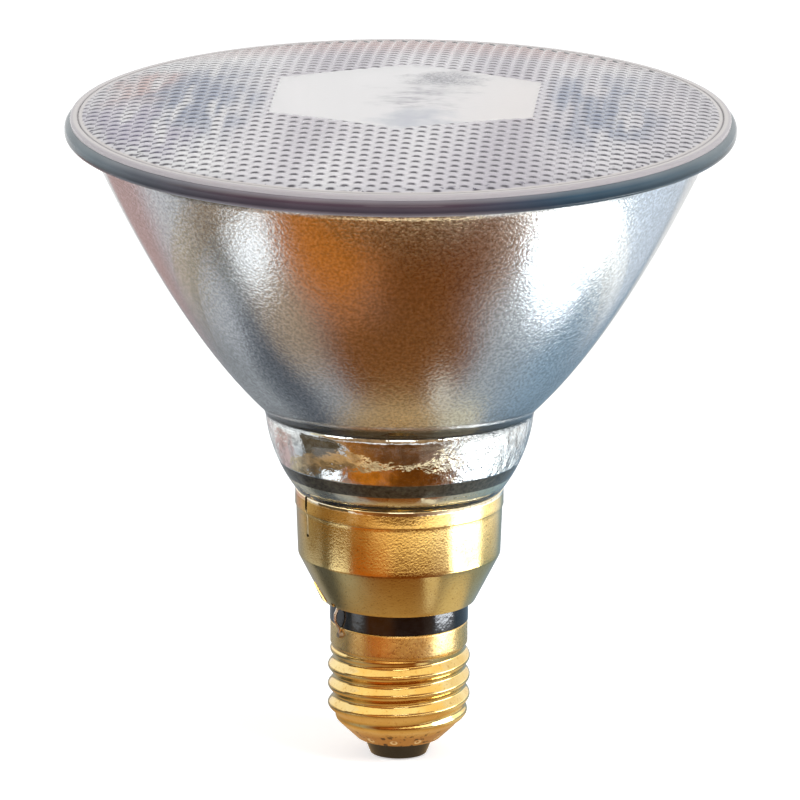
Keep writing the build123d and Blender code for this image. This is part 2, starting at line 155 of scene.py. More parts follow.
def lathe(name, sections, materials, segments=256, shift=None):
    """A closed turned body. Sections are (material number, points); shift moves the points by angle."""
    profile = []
    kinds = []
    for kind, points in sections:
        for point in points:
            if profile and math.dist(profile[-1], point) < 1e-6:
                continue
            if profile:
                kinds.append(kind)
            profile.append(tuple(point))
    on_axis = [r < 1e-6 for r, z in profile]
    radius = np.array([r for r, z in profile])[:, None] * np.ones((1, segments))
    height = np.array([z for r, z in profile])[:, None] * np.ones((1, segments))
    angle = np.linspace(0, 2 * math.pi, segments, endpoint=False)[None, :] * np.ones_like(radius)
    if shift is not None:
        radius, height = shift(radius, height, angle)
    grid = np.stack((radius * np.cos(angle), radius * np.sin(angle), height), axis=2)
    points = []
    index = np.zeros((len(profile), segments), dtype=int)
    for i in range(len(profile)):
        if on_axis[i]:
            index[i, :] = len(points)
            points.append((0.0, 0.0, height[i, 0]))
        else:
            index[i, :] = np.arange(segments) + len(points)
            points.extend(grid[i].tolist())
    pairs = [(i, i + 1, kinds[i]) for i in range(len(profile) - 1)]
    if not (on_axis[0] and on_axis[-1]):
        pairs.append((len(profile) - 1, 0, kinds[-1]))
    faces = []
    face_kinds = []
    for low, high, kind in pairs:
        for j in range(segments):
            k = (j + 1) % segments
            corners = (index[low, j], index[low, k], index[high, k], index[high, j])
            face = tuple(dict.fromkeys(int(c) for c in corners))
            if len(face) > 2:
                faces.append(face)
                face_kinds.append(kind)
    return mesh_object(name, points, faces, face_kinds, materials)


def prism(name, corners, along, material):
    """A prism: a flat outline in millimetres, drawn out along a direction."""
    low = [tuple(corner) for corner in corners]
    high = [tuple(np.array(corner) + np.array(along)) for corner in corners]
    count = len(corners)
    sides = [(i, (i + 1) % count, count + (i + 1) % count, count + i) for i in range(count)]
    faces = [tuple(range(count))[::-1], tuple(range(count, 2 * count))] + sides
    return mesh_object(name, low + high, faces, [0] * len(faces), [material])


def level_directions(angle):
    """The level direction out from the axis at an angle, and the one a quarter turn on."""
    out = np.array((math.cos(angle), math.sin(angle), 0.0))
    return out, np.array((-out[1], out[0], 0.0))


def combine(target, tool, operation):
    """Cuts a tool from an object, or joins it to the object, and removes the tool."""
    step = target.modifiers.new("step", "BOOLEAN")
    step.operation = operation
    step.object = tool
    step.solver = "EXACT"
    step.material_mode = "TRANSFER"
    graph = bpy.context.evaluated_depsgraph_get()
    mesh = bpy.data.meshes.new_from_object(target.evaluated_get(graph))
    target.modifiers.clear()
    target.data = mesh
    bpy.data.objects.remove(tool)
    smooth(mesh)


# Shader helpers


def add_node(tree, kind, inputs=None, **settings):
    """A shader node with its settings, and its inputs set to values or linked to outputs."""
    made = tree.nodes.new(kind)
    for key, value in settings.items():
        setattr(made, key, value)
    for key, value in (inputs or {}).items():
        if isinstance(value, bpy.types.NodeSocket):
            tree.links.new(value, made.inputs[key])
        else:
            made.inputs[key].default_value = value
    return made


def new_material(name):
    """A material with an empty tree, and its tree."""
    material = bpy.data.materials.new(name)
    material.use_nodes = True
    material.node_tree.nodes.clear()
    return material, material.node_tree


def surfaced(material, shader):
    """The material with a shader as its surface."""
    add_node(material.node_tree, "ShaderNodeOutputMaterial", {"Surface": shader.outputs[0]})
    return material


def principled(material, inputs):
    """The material with a surface shader of these inputs."""
    return surfaced(material, add_node(material.node_tree, "ShaderNodeBsdfPrincipled", inputs))


def glowing(material, colour, strength=1.0):
    """The material with a glow as its surface."""
    inputs = {"Color": colour, "Strength": strength}
    return surfaced(material, add_node(material.node_tree, "ShaderNodeEmission", inputs))


def object_place(tree):
    """The object's own coordinates."""
    return add_node(tree, "ShaderNodeTexCoord").outputs["Object"]


def noise(tree, scale, detail=3.0, roughness=0.5, place=None):
    """Noise over the object's own coordinates, or over others."""
    place = place or object_place(tree)
    inputs = {"Vector": place, "Scale": scale, "Detail": detail, "Roughness": roughness}
    return add_node(tree, "ShaderNodeTexNoise", inputs).outputs["Fac"]


def ramp(tree, value, stops):
    """Colours along a value."""
    made = add_node(tree, "ShaderNodeValToRGB", {"Fac": value})
    elements = made.color_ramp.elements
    while len(elements) < len(stops):
        elements.new(0.5)
    for element, (position, colour) in zip(elements, stops):
        element.position = position
        element.color = (*colour, 1.0)
    return made.outputs["Color"]


def spread(tree, value, low, high, start=0.0, end=1.0, how="LINEAR"):
    """A value between start and end brought to another range."""
    inputs = {"Value": value, "From Min": start, "From Max": end, "To Min": low, "To Max": high}
    return add_node(tree, "ShaderNodeMapRange", inputs, interpolation_type=how).outputs["Result"]


def maths(tree, operation, first, second=0.0):
    """One step of arithmetic."""
    return add_node(tree, "ShaderNodeMath", {0: first, 1: second}, operation=operation).outputs[0]


def times(tree, first, second):
    """The product of two values."""
    return maths(tree, "MULTIPLY", first, second)


def vector_maths(tree, operation, inputs):
    """One step of arithmetic on vectors."""
    return add_node(tree, "ShaderNodeVectorMath", inputs, operation=operation).outputs["Vector"]


def vector_length(tree, vector):
    """The length of a vector."""
    return add_node(tree, "ShaderNodeVectorMath", {0: vector}, operation="LENGTH").outputs["Value"]


def parts_of(tree, vector):
    """A vector's X, Y and Z."""
    return add_node(tree, "ShaderNodeSeparateXYZ", {"Vector": vector}).outputs


def blended(tree, share, first, second, how="MIX"):
    """Two colours mixed by a share."""
    inputs = {0: share, 6: first, 7: second}
    return add_node(tree, "ShaderNodeMix", inputs, data_type="RGBA", blend_type=how).outputs[2]


def bump(tree, value, height, under=None):
    """A surface normal from a height in millimetres, over another normal if there is one."""
    made = add_node(tree, "ShaderNodeBump", {"Height": value, "Strength": 1.0, "Distance": height * MM})
    if under is not None:
        tree.links.new(under, made.inputs["Normal"])
    return made.outputs["Normal"]


def moved(tree, place, middle, turn, scale):
    """Coordinates from a middle in millimetres, turned and scaled down."""
    inputs = {
        "Vector": place,
        "Location": (middle[0] * MM, middle[1] * MM, 0.0),
        "Rotation": (0.0, 0.0, turn),
        "Scale": scale,
    }
    return add_node(tree, "ShaderNodeMapping", inputs, vector_type="TEXTURE").outputs["Vector"]


def patch(tree, place, middle, size, turn=0.0, start=0.55, end=1.15):
    """1 in an oval patch and 0 outside it; its middle and half sizes are in millimetres."""
    spot = moved(tree, place, middle, math.radians(turn), (size[0] * MM, size[1] * MM, 1.0))
    return spread(tree, vector_length(tree, spot), 1.0, 0.0, start, end, "SMOOTHSTEP")


# Materials


def foot_marks(tree, tone):
    """Browner towards the shell's foot, with dark tarnish specks there, and a pale ring of painted highlight
    at each staking dimple.
    """
    place = parts_of(tree, object_place(tree))
    low = spread(tree, place["Z"], 1.0, 0.0, 5.2 * MM, 6.6 * MM)
    specks = spread(tree, noise(tree, 620.0, 3.0, 0.6), 0.0, 1.0, 0.56, 0.64)
    tone = blended(tree, spread(tree, low, 0.0, 0.75), tone, (0.52, 0.26, 0.09, 1.0))
    tone = blended(tree, times(tree, low, specks), tone, (0.09, 0.045, 0.02, 1.0))
    # A pale ring around each dimple's rim: painted highlight.
    step = 2 * math.pi / dimple_count
    angle = maths(tree, "ARCTAN2", place["Y"], place["X"])
    apart = maths(tree, "WRAP", maths(tree, "SUBTRACT", angle, dimple_turn), step / 2)
    apart.node.inputs[2].default_value = -step / 2
    across = times(tree, apart, dimple_radius * MM)
    along = times(tree, maths(tree, "SUBTRACT", place["Z"], dimple_z * MM), 1.4)
    offset = add_node(tree, "ShaderNodeCombineXYZ", {"X": across, "Y": along}).outputs["Vector"]
    off = maths(tree, "SUBTRACT", vector_length(tree, offset), dimple_size * MM)
    ring = spread(tree, maths(tree, "ABSOLUTE", off), 1.0, 0.0, 0.08 * MM, 0.28 * MM)
    return blended(tree, ring, tone, (1.0, 0.92, 0.74, 1.0))


def brass(name, tones, rough, grain, waves, spots, marks=None):
    """Tarnished, spotted brass. Grain and waves are a noise scale and a height; marks change its tone."""
    material, tree = new_material(name)
    cloud = noise(tree, 140.0, 4.0, 0.6)
    fine = noise(tree, grain[0], 2.0, 0.55)
    wave = noise(tree, waves[0], 2.0, 0.5)
    tone = ramp(tree, cloud, [(0.32, tones[0]), (0.68, tones[1])])
    if marks:
        tone = marks(tree, tone)
    speck = ramp(tree, fine, [(0.28, (spots, spots * 0.9, spots * 0.8)), (0.42, (1.0, 1.0, 1.0))])
    inputs = {
        "Base Color": blended(tree, 1.0, tone, speck, "MULTIPLY"),
        "Metallic": 1.0,
        "Roughness": spread(tree, fine, *rough),
        "Normal": bump(tree, fine, grain[1], bump(tree, wave, waves[1])),
    }
    return principled(material, inputs)


def clear_glass(name, colour, wave_scale, wave_height):
    """Pressed glass with faint waves in its surface."""
    material, tree = new_material(name)
    wave = noise(tree, wave_scale, 2.0, 0.5)
    inputs = {
        "Base Color": (*colour, 1.0),
        "Roughness": 0.0,
        "IOR": 1.5,
        "Transmission Weight": 1.0,
        "Normal": bump(tree, wave, wave_height),
    }
    return principled(material, inputs)


def mirror(name, colour, rough, peel, waves, crackle=0.0):
    """Vapour-deposited aluminium on stippled and wavy glass, with a height of crackle on its right side."""
    material, tree = new_material(name)
    fine = noise(tree, peel[0], 2.0, 0.5)
    wave = noise(tree, waves[0], 2.0, 0.55)
    cloud = noise(tree, 90.0, 3.0, 0.5)
    normal = bump(tree, fine, peel[1], bump(tree, wave, waves[1]))
    if crackle:
        place = parts_of(tree, object_place(tree))
        side = spread(tree, place["X"], 0.12, 1.0, 4 * MM, 12 * MM)
        normal = bump(tree, times(tree, noise(tree, 520.0, 3.0, 0.6), side), crackle, normal)
    coat = ramp(tree, cloud, [(0.3, colour), (0.7, tuple(0.93 * c for c in colour))])
    shade = ramp(tree, fine, [(0.38, (0.70, 0.70, 0.70)), (0.60, (1.0, 1.0, 1.0))])
    inputs = {
        "Base Color": blended(tree, 1.0, coat, shade, "MULTIPLY"),
        "Metallic": 1.0,
        "Roughness": spread(tree, fine, *rough),
        "Normal": normal,
    }
    return principled(material, inputs)


def bead_painted_reflections(tree):
    """Painted reflections on the rim's glass, by height: violet brown in front, navy at the front right and
    sea-green elsewhere, with a darker band across the middle.
    """
    place = parts_of(tree, object_place(tree))
    level = spread(tree, place["Z"], 0.0, 1.0, rim_z * MM, seat_z * MM)
    front = [
        (0.0, (0.44, 0.44, 0.47)),
        (0.16, (0.22, 0.19, 0.22)),
        (0.34, (0.045, 0.03, 0.045)),
        (0.75, (0.085, 0.055, 0.075)),
        (1.0, (0.26, 0.23, 0.25)),
    ]
    right = [
        (0.0, (0.04, 0.07, 0.09)),
        (0.3, (0.01, 0.035, 0.065)),
        (0.7, (0.03, 0.075, 0.12)),
        (1.0, (0.17, 0.20, 0.23)),
    ]
    side = [
        (0.0, (0.09, 0.13, 0.15)),
        (0.35, (0.04, 0.065, 0.08)),
        (0.6, (0.09, 0.13, 0.155)),
        (1.0, (0.20, 0.24, 0.26)),
    ]
    forward = spread(tree, place["Y"], 1.0, 0.0, -55 * MM, -25 * MM)
    rightward = spread(tree, place["X"], 0.0, 1.0, 10 * MM, 30 * MM)
    ahead = blended(tree, rightward, ramp(tree, level, front), ramp(tree, level, right))
    return blended(tree, forward, ramp(tree, level, side), ahead)


def bead_glass(name):
    """The rim's bead: dark grey glass with faint cloudy patches, over colours of painted reflection."""
    material, tree = new_material(name)
    patchy = noise(tree, 70.0, 2.0, 0.5)
    shade = ramp(tree, patchy, [(0.35, (0.75, 0.78, 0.80)), (0.65, (1.0, 1.0, 1.0))])
    inputs = {
        # The base colour is painted reflection, set by place on the rim.
        "Base Color": blended(tree, 1.0, bead_painted_reflections(tree), shade, "MULTIPLY"),
        "Roughness": spread(tree, patchy, 0.04, 0.10),
        "IOR": 1.5,
        "Specular IOR Level": 0.25,
        "Normal": bump(tree, patchy, 0.05),
    }
    return principled(material, inputs)


def stirred(tree, place, scale, amount):
    """Coordinates shaken by noise, by parts of an amount in millimetres."""
    texture = add_node(tree, "ShaderNodeTexNoise", {"Vector": place, "Scale": scale, "Detail": 3.0})
    centred = vector_maths(tree, "SUBTRACT", {0: texture.outputs["Color"], 1: (0.5, 0.5, 0.5)})
    shift = vector_maths(tree, "SCALE", {0: centred, "Scale": 2 * amount * MM})
    return vector_maths(tree, "ADD", {0: place, 1: shift})


def lens_window(tree, place):
    """0 in the lens's six-sided window and 1 outside it."""
    parts = parts_of(tree, place)
    across = maths(tree, "ABSOLUTE", parts["X"])
    along = maths(tree, "ABSOLUTE", parts["Y"])
    slope = (window_apex - window_side) / window_half
    slanted = maths(tree, "MULTIPLY_ADD", across, slope)
    slanted.node.inputs[2].default_value = -window_apex * MM
    above = maths(tree, "ADD", along, slanted)
    beside = maths(tree, "SUBTRACT", across, window_half * MM)
    outside = maths(tree, "MAXIMUM", above, beside)
    return spread(tree, outside, 0.0, 1.0, 0.0, 0.25 * MM)


def lens_pattern_place(tree):
    """Coordinates along the lens's rows of cells, from the window's middle."""
    return moved(tree, object_place(tree), window_middle, pattern_turn, (1.0, 1.0, 1.0))


def cell_shade_dashes(tree, parts):
    """Where each cell's painted shade goes: 1 at the near and far ends of each cell, in the middle of its
    column, and 0 elsewhere.
    """
    column = maths(tree, "ROUND", maths(tree, "DIVIDE", parts["X"], cell_width * MM))
    middle = times(tree, column, cell_width * MM)
    aside = maths(tree, "ABSOLUTE", maths(tree, "SUBTRACT", parts["X"], middle))
    stagger = times(tree, maths(tree, "PINGPONG", column, 1.0), cell_length * MM / 2)
    along = maths(tree, "WRAP", maths(tree, "SUBTRACT", parts["Y"], stagger), cell_length * MM / 2)
    along.node.inputs[2].default_value = -cell_length * MM / 2
    off = maths(tree, "ABSOLUTE", along)
    ends = spread(tree, off, 0.0, 1.0, 0.26 * cell_length * MM, 0.39 * cell_length * MM)
    inner = spread(tree, aside, 1.0, 0.0, 0.17 * cell_width * MM, 0.43 * cell_width * MM)
    outward = spread(tree, maths(tree, "ABSOLUTE", parts["X"]), 0.0, 0.8, 20 * MM, 42 * MM)
    return times(tree, ends, maths(tree, "MAXIMUM", inner, outward))


def far_edge_shadow_dashes(tree, parts):
    """Where the cells' painted shadows at the far edge go: 1 at the far ends of the columns of cells, except
    at the left, and 0 elsewhere.
    """
    across = maths(tree, "SINE", times(tree, parts["X"], 2 * math.pi / (cell_width * MM)))
    chord = maths(tree, "SUBTRACT", (field_radius * MM) ** 2, times(tree, parts["X"], parts["X"]))
    gap = maths(tree, "SUBTRACT", maths(tree, "SQRT", chord), parts["Y"])
    rightward = spread(tree, parts["X"], 0.0, 1.0, -36 * MM, -16 * MM)
    columns = times(tree, spread(tree, across, 0.0, 1.0, -0.1, 0.3), rightward)
    return times(tree, spread(tree, gap, 1.0, 0.0, 1.5 * MM, 2.1 * MM), columns)


def field_colours(tree, place, parts, radius):
    """Lavender cells with dark dashes of painted shade, slate, violet and rosy streaks and a rosy far edge of
    painted reflection, specks at the edge, and dark dashes of painted shadow along the far edge.
    """
    rows = vector_maths(tree, "MULTIPLY", {0: place, 1: (1.0, 0.15, 1.0)})
    streak = spread(tree, noise(tree, 260.0, 2.0, 0.5, rows), 0.0, 1.0, 0.64, 0.50)
    loose = stirred(tree, place, 70.0, 12.0)
    # Slate, violet and rosy patches of painted reflection, broken into streaks.
    left = patch(tree, loose, (-37, -1), (12, 30), 0, 0.4, 1.3)
    right = patch(tree, loose, (36, 0), (11, 28), 0, 0.4, 1.3)
    slate = times(tree, maths(tree, "MAXIMUM", left, right), streak)
    violet = times(tree, patch(tree, loose, (-49, -16), (10, 24), 20, 0.4, 1.2), streak)
    rosy_streak = times(tree, patch(tree, loose, (-48, 14), (9, 20), 15, 0.3, 1.2), streak)
    # The rosy far edge is painted reflection too.
    rosy = maths(tree, "MAXIMUM", spread(tree, parts["Y"], 0.0, 0.85, 34 * MM, 50 * MM), rosy_streak)
    tones = [(0.36, (0.66, 0.62, 0.68)), (0.50, (0.87, 0.84, 0.88)), (0.62, (1.0, 0.99, 1.0))]
    light = ramp(tree, noise(tree, 34.0, 2.0, 0.5, rows), tones)
    light = blended(tree, rosy, light, (0.76, 0.53, 0.50, 1.0))
    light = blended(tree, slate, light, (0.42, 0.46, 0.58, 1.0))
    light = blended(tree, violet, light, (0.66, 0.62, 0.72, 1.0))
    # The dashes' dark colour is painted shade: darker at the far side, bluer and more violet in the streaks.
    far = spread(tree, parts["Y"], 0.0, 1.0, 44 * MM, 52 * MM)
    dark = blended(tree, slate, (0.06, 0.052, 0.072, 1.0), (0.02, 0.03, 0.075, 1.0))
    dark = blended(tree, violet, dark, (0.06, 0.045, 0.12, 1.0))
    dark = blended(tree, far, dark, (0.05, 0.025, 0.035, 1.0))
    cells = blended(tree, cell_shade_dashes(tree, parts), light, dark)
    speck = spread(tree, noise(tree, 480.0, 3.0, 0.6), 0.0, 1.0, 0.60, 0.66)
    edge_specks = times(tree, spread(tree, radius, 0.0, 1.0, 55.2 * MM, 56.8 * MM), speck)
    cells = blended(tree, edge_specks, cells, (0.07, 0.06, 0.11, 1.0))
    # Dark dashes of painted shadow along the far edge.
    return blended(tree, far_edge_shadow_dashes(tree, parts), cells, (0.04, 0.03, 0.04, 1.0))


def window_colours(tree, place, parts):
    """The bare window, white at its left and cream at its right, with three grey patches of painted shade for
    the dark inside seen through it.
    """
    cream = spread(tree, parts["X"], 0.0, 1.0, 4 * MM, 20 * MM)
    bare = blended(tree, cream, (0.99, 0.98, 0.99, 1.0), (0.97, 0.93, 0.92, 1.0))
    # Three patches of painted shade for the dark inside seen through the window: grainy grey far, streaked
    # grey in the middle, bluish grey near.
    grain = noise(tree, 1500.0, 3.0, 0.65)
    grey = ramp(tree, grain, [(0.42, (0.22, 0.22, 0.25)), (0.64, (0.72, 0.71, 0.75))])
    stretched_place = vector_maths(tree, "MULTIPLY", {0: place, 1: (0.3, 0.8, 1.0)})
    shade_streak_tones = [(0.40, (0.46, 0.45, 0.49)), (0.60, (0.95, 0.93, 0.95))]
    shade_streaks = ramp(tree, noise(tree, 620.0, 3.0, 0.6, stretched_place), shade_streak_tones)
    ragged = stirred(tree, place, 190.0, 9.0)
    far_shade_patch = patch(tree, ragged, (5.8, 13.0), (8.0, 9.0), 0, 0.2, 1.2)
    middle_shade_patch = patch(tree, ragged, (2.8, -4.0), (8.5, 12.0), 0, 0.1, 1.3)
    near_shade_patch = patch(tree, ragged, (3.5, -18.0), (8.0, 7.0), 0, 0.1, 1.3)
    bare = blended(tree, far_shade_patch, bare, grey)
    bare = blended(tree, middle_shade_patch, bare, shade_streaks)
    return blended(tree, near_shade_patch, bare, (0.66, 0.68, 0.75, 1.0))


def lens_colours(tree):
    """The lens's field of cells around its window, then a cream rim, a groove greyed with painted shade and a
    pale flange.
    """
    place = lens_pattern_place(tree)
    parts = parts_of(tree, place)
    flat = vector_maths(tree, "MULTIPLY", {0: object_place(tree), 1: (1.0, 1.0, 0.0)})
    radius = vector_length(tree, flat)
    field = field_colours(tree, place, parts, radius)
    face = blended(tree, lens_window(tree, place), window_colours(tree, place, parts), field)
    rim = spread(tree, radius, 0.0, 1.0, 57.6 * MM, 57.9 * MM)
    face = blended(tree, rim, face, (0.86, 0.80, 0.78, 1.0))
    flange = spread(tree, radius, 0.0, 1.0, 59.3 * MM, 59.6 * MM)
    face = blended(tree, flange, face, (0.68, 0.63, 0.66, 1.0))
    # The groove is darkened with painted shade.
    from_groove = maths(tree, "ABSOLUTE", maths(tree, "SUBTRACT", radius, groove_radius * MM))
    groove = spread(tree, from_groove, 0.85, 0.0, 0.0, 0.35 * MM)
    return blended(tree, groove, face, (0.34, 0.32, 0.34, 1.0))


def lens_glass_material(name):
    """The lens's glass: partly clear, and partly tinted, the tint holding the painted shade and painted
    reflections of its relief.
    """
    material, tree = new_material(name)
    wave = noise(tree, 900.0, 3.0, 0.55)
    inputs = {
        "Base Color": lens_colours(tree),
        "Roughness": 0.02,
        "IOR": 1.5,
        "Transmission Weight": 0.33,
        "Normal": bump(tree, wave, 0.01),
    }
    return principled(material, inputs)


def black_glass(name):
    """Glossy black glass with faint dust."""
    material, tree = new_material(name)
    dust = noise(tree, 900.0, 4.0, 0.6)
    inputs = {
        "Base Color": ramp(tree, dust, [(0.35, (0.003, 0.003, 0.0035)), (0.85, (0.012, 0.011, 0.010))]),
        "Roughness": spread(tree, dust, 0.05, 0.10),
        "IOR": 1.65,
        "Normal": bump(tree, noise(tree, 520.0, 3.0, 0.6), 0.025),
    }
    return principled(material, inputs)


def dull_metal(name, colour, rough):
    """Wire and solder, with a fine uneven sheen."""
    material, tree = new_material(name)
    fine = noise(tree, 2500.0, 3.0, 0.5)
    inputs = {
        "Base Color": ramp(tree, fine, [(0.3, colour), (0.7, tuple(0.8 * c for c in colour))]),
        "Metallic": 1.0,
        "Roughness": spread(tree, fine, *rough),
        "Normal": bump(tree, fine, 0.01),
    }
    return principled(material, inputs)


def dull_paste(name, tones, rough, grit=(1500.0, 5.0, 0.65), pores=0.1):
    """Cement or another dull filling, or a dull dark sheet of painted shadow, with the noise of its grit and
    the height of its pores.
    """
    material, tree = new_material(name)
    grains = noise(tree, *grit)
    inputs = {
        "Base Color": ramp(tree, grains, [(0.3, tones[0]), (0.7, tones[1])]),
        "Roughness": rough,
        "Normal": bump(tree, grains, pores),
    }
    return principled(material, inputs)


# The materials in use

lens_glass = lens_glass_material("lens_glass")
tube_glass = clear_glass("tube_glass", (0.96, 0.96, 0.97), 200.0, 0.02)
wall_glass = clear_glass("wall_glass", (0.93, 0.96, 0.96), 120.0, 0.03)
rim_glass = bead_glass("rim_glass")
seal_tones = ((0.62, 0.58, 0.60), (0.80, 0.77, 0.78))
seal_glass = dull_paste("seal_glass", seal_tones, 0.6, grit=(800.0, 3.0, 0.6), pores=0.05)
bowl_mirror = mirror(
    "bowl_mirror", (0.98, 0.98, 0.99), rough=(0.09, 0.17), peel=(1900.0, 0.028), waves=(110.0, 0.010)
)
neck_mirror = mirror(
    "neck_mirror",
    (0.94, 0.95, 0.95),
    rough=(0.02, 0.06),
    peel=(700.0, 0.02),
    waves=(170.0, 0.10),
    crackle=0.25,
)
# A near-black band inside the neck near its foot: painted shadow.
neck_painted_shadow = dull_paste("neck_painted_shadow", ((0.010, 0.011, 0.007), (0.15, 0.145, 0.105)), 0.35)
# Pale brass whose paleness on the skirt's lip and the slit's walls is a painted highlight; it also lines the
# bowl's inside foot.
pale_highlight_brass = brass(
    "pale_highlight_brass",
    tones=((0.98, 0.86, 0.60), (1.0, 0.93, 0.75)),
    rough=(0.05, 0.10),
    grain=(1500.0, 0.01),
    waves=(420.0, 0.05),
    spots=0.8,
)
skirt_brass = brass(
    "satin_brass",
    tones=((0.72, 0.51, 0.19), (0.84, 0.65, 0.30)),
    rough=(0.11, 0.18),
    grain=(2600.0, 0.02),
    waves=(250.0, 0.009),
    spots=0.7,
)
shell_brass = brass(
    "bright_brass",
    tones=((0.88, 0.58, 0.19), (1.0, 0.79, 0.37)),
    rough=(0.07, 0.16),
    grain=(1500.0, 0.01),
    waves=(420.0, 0.04),
    spots=0.85,
    marks=foot_marks,
)
collar_brass = brass(
    "collar_brass",
    tones=((0.86, 0.54, 0.18), (0.98, 0.74, 0.36)),
    rough=(0.22, 0.34),
    grain=(1800.0, 0.02),
    waves=(420.0, 0.03),
    spots=0.75,
)
ring_glass = black_glass("black_glass")
wire_metal = dull_metal("lead_metal", (0.82, 0.74, 0.70), (0.2, 0.35))
filament_metal = dull_metal("filament_wire", (0.45, 0.45, 0.46), (0.35, 0.5))
solder_metal = dull_metal("solder", (0.50, 0.42, 0.34), (0.3, 0.5))
cement = dull_paste("cement", ((0.45, 0.40, 0.32), (0.72, 0.68, 0.60)), 0.9)


# Reflector bowl: clear pressed glass, mirrored on its inside


def parabola(r0, z0, r1, z1, count):
    """Points of a parabola about the axis between two of its points."""
    latus = (r1**2 - r0**2) / (z1 - z0)
    return [(r, z0 + (r**2 - r0**2) / latus) for r in np.linspace(r0, r1, count)]


def arc_through(first, middle, last, count):
    """Points of the circle through three points."""
    a, b, c = (complex(*point) for point in (first, middle, last))
    ratio = (c - a) / (b - a)
    centre = a + (b - a) * (ratio - abs(ratio) ** 2) / (2j * ratio.imag)
    turns = np.linspace(np.angle(a - centre), np.angle(c - centre), count)
    points = centre + abs(a - centre) * np.exp(1j * turns)
    return list(zip(points.real, points.imag))


glass_wall = 2.6
spigot_radius = 17.65
neck_foot_radius = 19.0
neck_top_radius = 24.6
throat_radius = 25.2
bowl_rim_radius = 56.9
rim_radius = 61.0
rim_rounding = 1.2
rim_seat_radius = 59.4
neck_middle = (22.95, 58.1)
mirror_end = (20.5, 56.8)
shade_end = (19.2, 54.3)
throat_slope = (bowl_rim_radius**2 - throat_radius**2) / (2 * (rim_z - throat_z) * throat_radius)
rim_slope = throat_slope * throat_radius / bowl_rim_radius
inner_throat_radius = throat_radius - glass_wall * math.hypot(1, throat_slope)
inner_rim_radius = bowl_rim_radius - glass_wall * math.hypot(1, rim_slope)
outside_foot = [(0, base_z), (spigot_radius, base_z), (spigot_radius, mouth_z), (neck_foot_radius, mouth_z)]
outside_neck = arc_through((neck_foot_radius, mouth_z), neck_middle, (neck_top_radius, neck_top_z), 28)
outside_bowl = [(neck_top_radius, neck_top_z)] + parabola(throat_radius, throat_z, bowl_rim_radius, rim_z, 60)
outside_rim = rounded(
    [
        (bowl_rim_radius, rim_z, 0),
        (rim_radius, rim_z, rim_rounding),
        (rim_radius, seat_z, rim_rounding),
        (rim_seat_radius, seat_z, 0),
    ],
    8,
)
rim_seat = [(rim_seat_radius, seat_z), (inner_rim_radius, seat_z), (inner_rim_radius, rim_z)]
inside_bowl = parabola(inner_throat_radius, throat_z, inner_rim_radius, rim_z, 40)[::-1]
inside_neck = [(inner_throat_radius, 63.9), (20.6, 57.0), mirror_end]
# The neck's inside near its foot takes the painted shadow.
inside_shade = [mirror_end, shade_end]
inside_foot = [shade_end, (17.8, 51.5), (13.0, floor_z), (0, floor_z)]
bowl = lathe(
    "reflector_glass",
    [
        (0, outside_foot + outside_neck + outside_bowl),
        (1, outside_rim),
        (2, rim_seat),
        (3, inside_bowl),
        (4, inside_neck),
        (5, inside_shade),
        (6, inside_foot),
    ],
    [wall_glass, rim_glass, seal_glass, bowl_mirror, neck_mirror, neck_painted_shadow, pale_highlight_brass],
    segments=288,
)
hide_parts("reflector_bowl")
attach(bowl, "root")


# Front lens: a domed disc with the cells in its upper face

lens_rise = lens_top_z - land_z
lens_radius = (dome_radius**2 + lens_rise**2) / (2 * lens_rise)


def disc_grid(count, radius):
    """Points of a square grid drawn over a disc, as two arrays."""
    line = np.linspace(-1, 1, count + 1)
    a, b = np.meshgrid(line, line, indexing="ij")
    wide = np.abs(a) >= np.abs(b)
    size = np.where(wide, a, b)
    share = np.where(wide, b, a) / np.where(size == 0, 1, size)
    angle = np.where(wide, share * math.pi / 4, math.pi / 2 - share * math.pi / 4)
    return radius * size * np.cos(angle), radius * size * np.sin(angle)


def lens_relief(x, y):
    """Height of the cells over the dome, none in the window and at the edge."""
    x_off = x - window_middle[0]
    y_off = y - window_middle[1]
    u = x_off * math.cos(pattern_turn) + y_off * math.sin(pattern_turn)
    v = -x_off * math.sin(pattern_turn) + y_off * math.cos(pattern_turn)
    nearest = np.full_like(u, 1e9)
    column = np.round(u / cell_width)
    for step in (-1, 0, 1):
        middle_u = (column + step) * cell_width
        stagger = np.where((column + step) % 2 == 0, 0.0, 0.5)
        middle_v = (np.round(v / cell_length - stagger) + stagger) * cell_length
        nearest = np.minimum(nearest, (u - middle_u) ** 2 + (v - middle_v) ** 2)
    cell = cell_height - nearest / (2 * cell_rounding)
    slope = (window_apex - window_side) / window_half
    beside = np.abs(u) - window_half
    above = (np.abs(v) - window_apex + slope * np.abs(u)) / math.hypot(1, slope)
    window_fade = 0.35
    edge_fade = 0.4
    edge_margin = 0.25
    outside = np.clip(np.maximum(beside, above) / window_fade, 0, 1)
    edge = np.clip((dome_radius - edge_margin - np.hypot(x, y)) / edge_fade, 0, 1)
    return np.maximum(cell, 0) * outside * edge


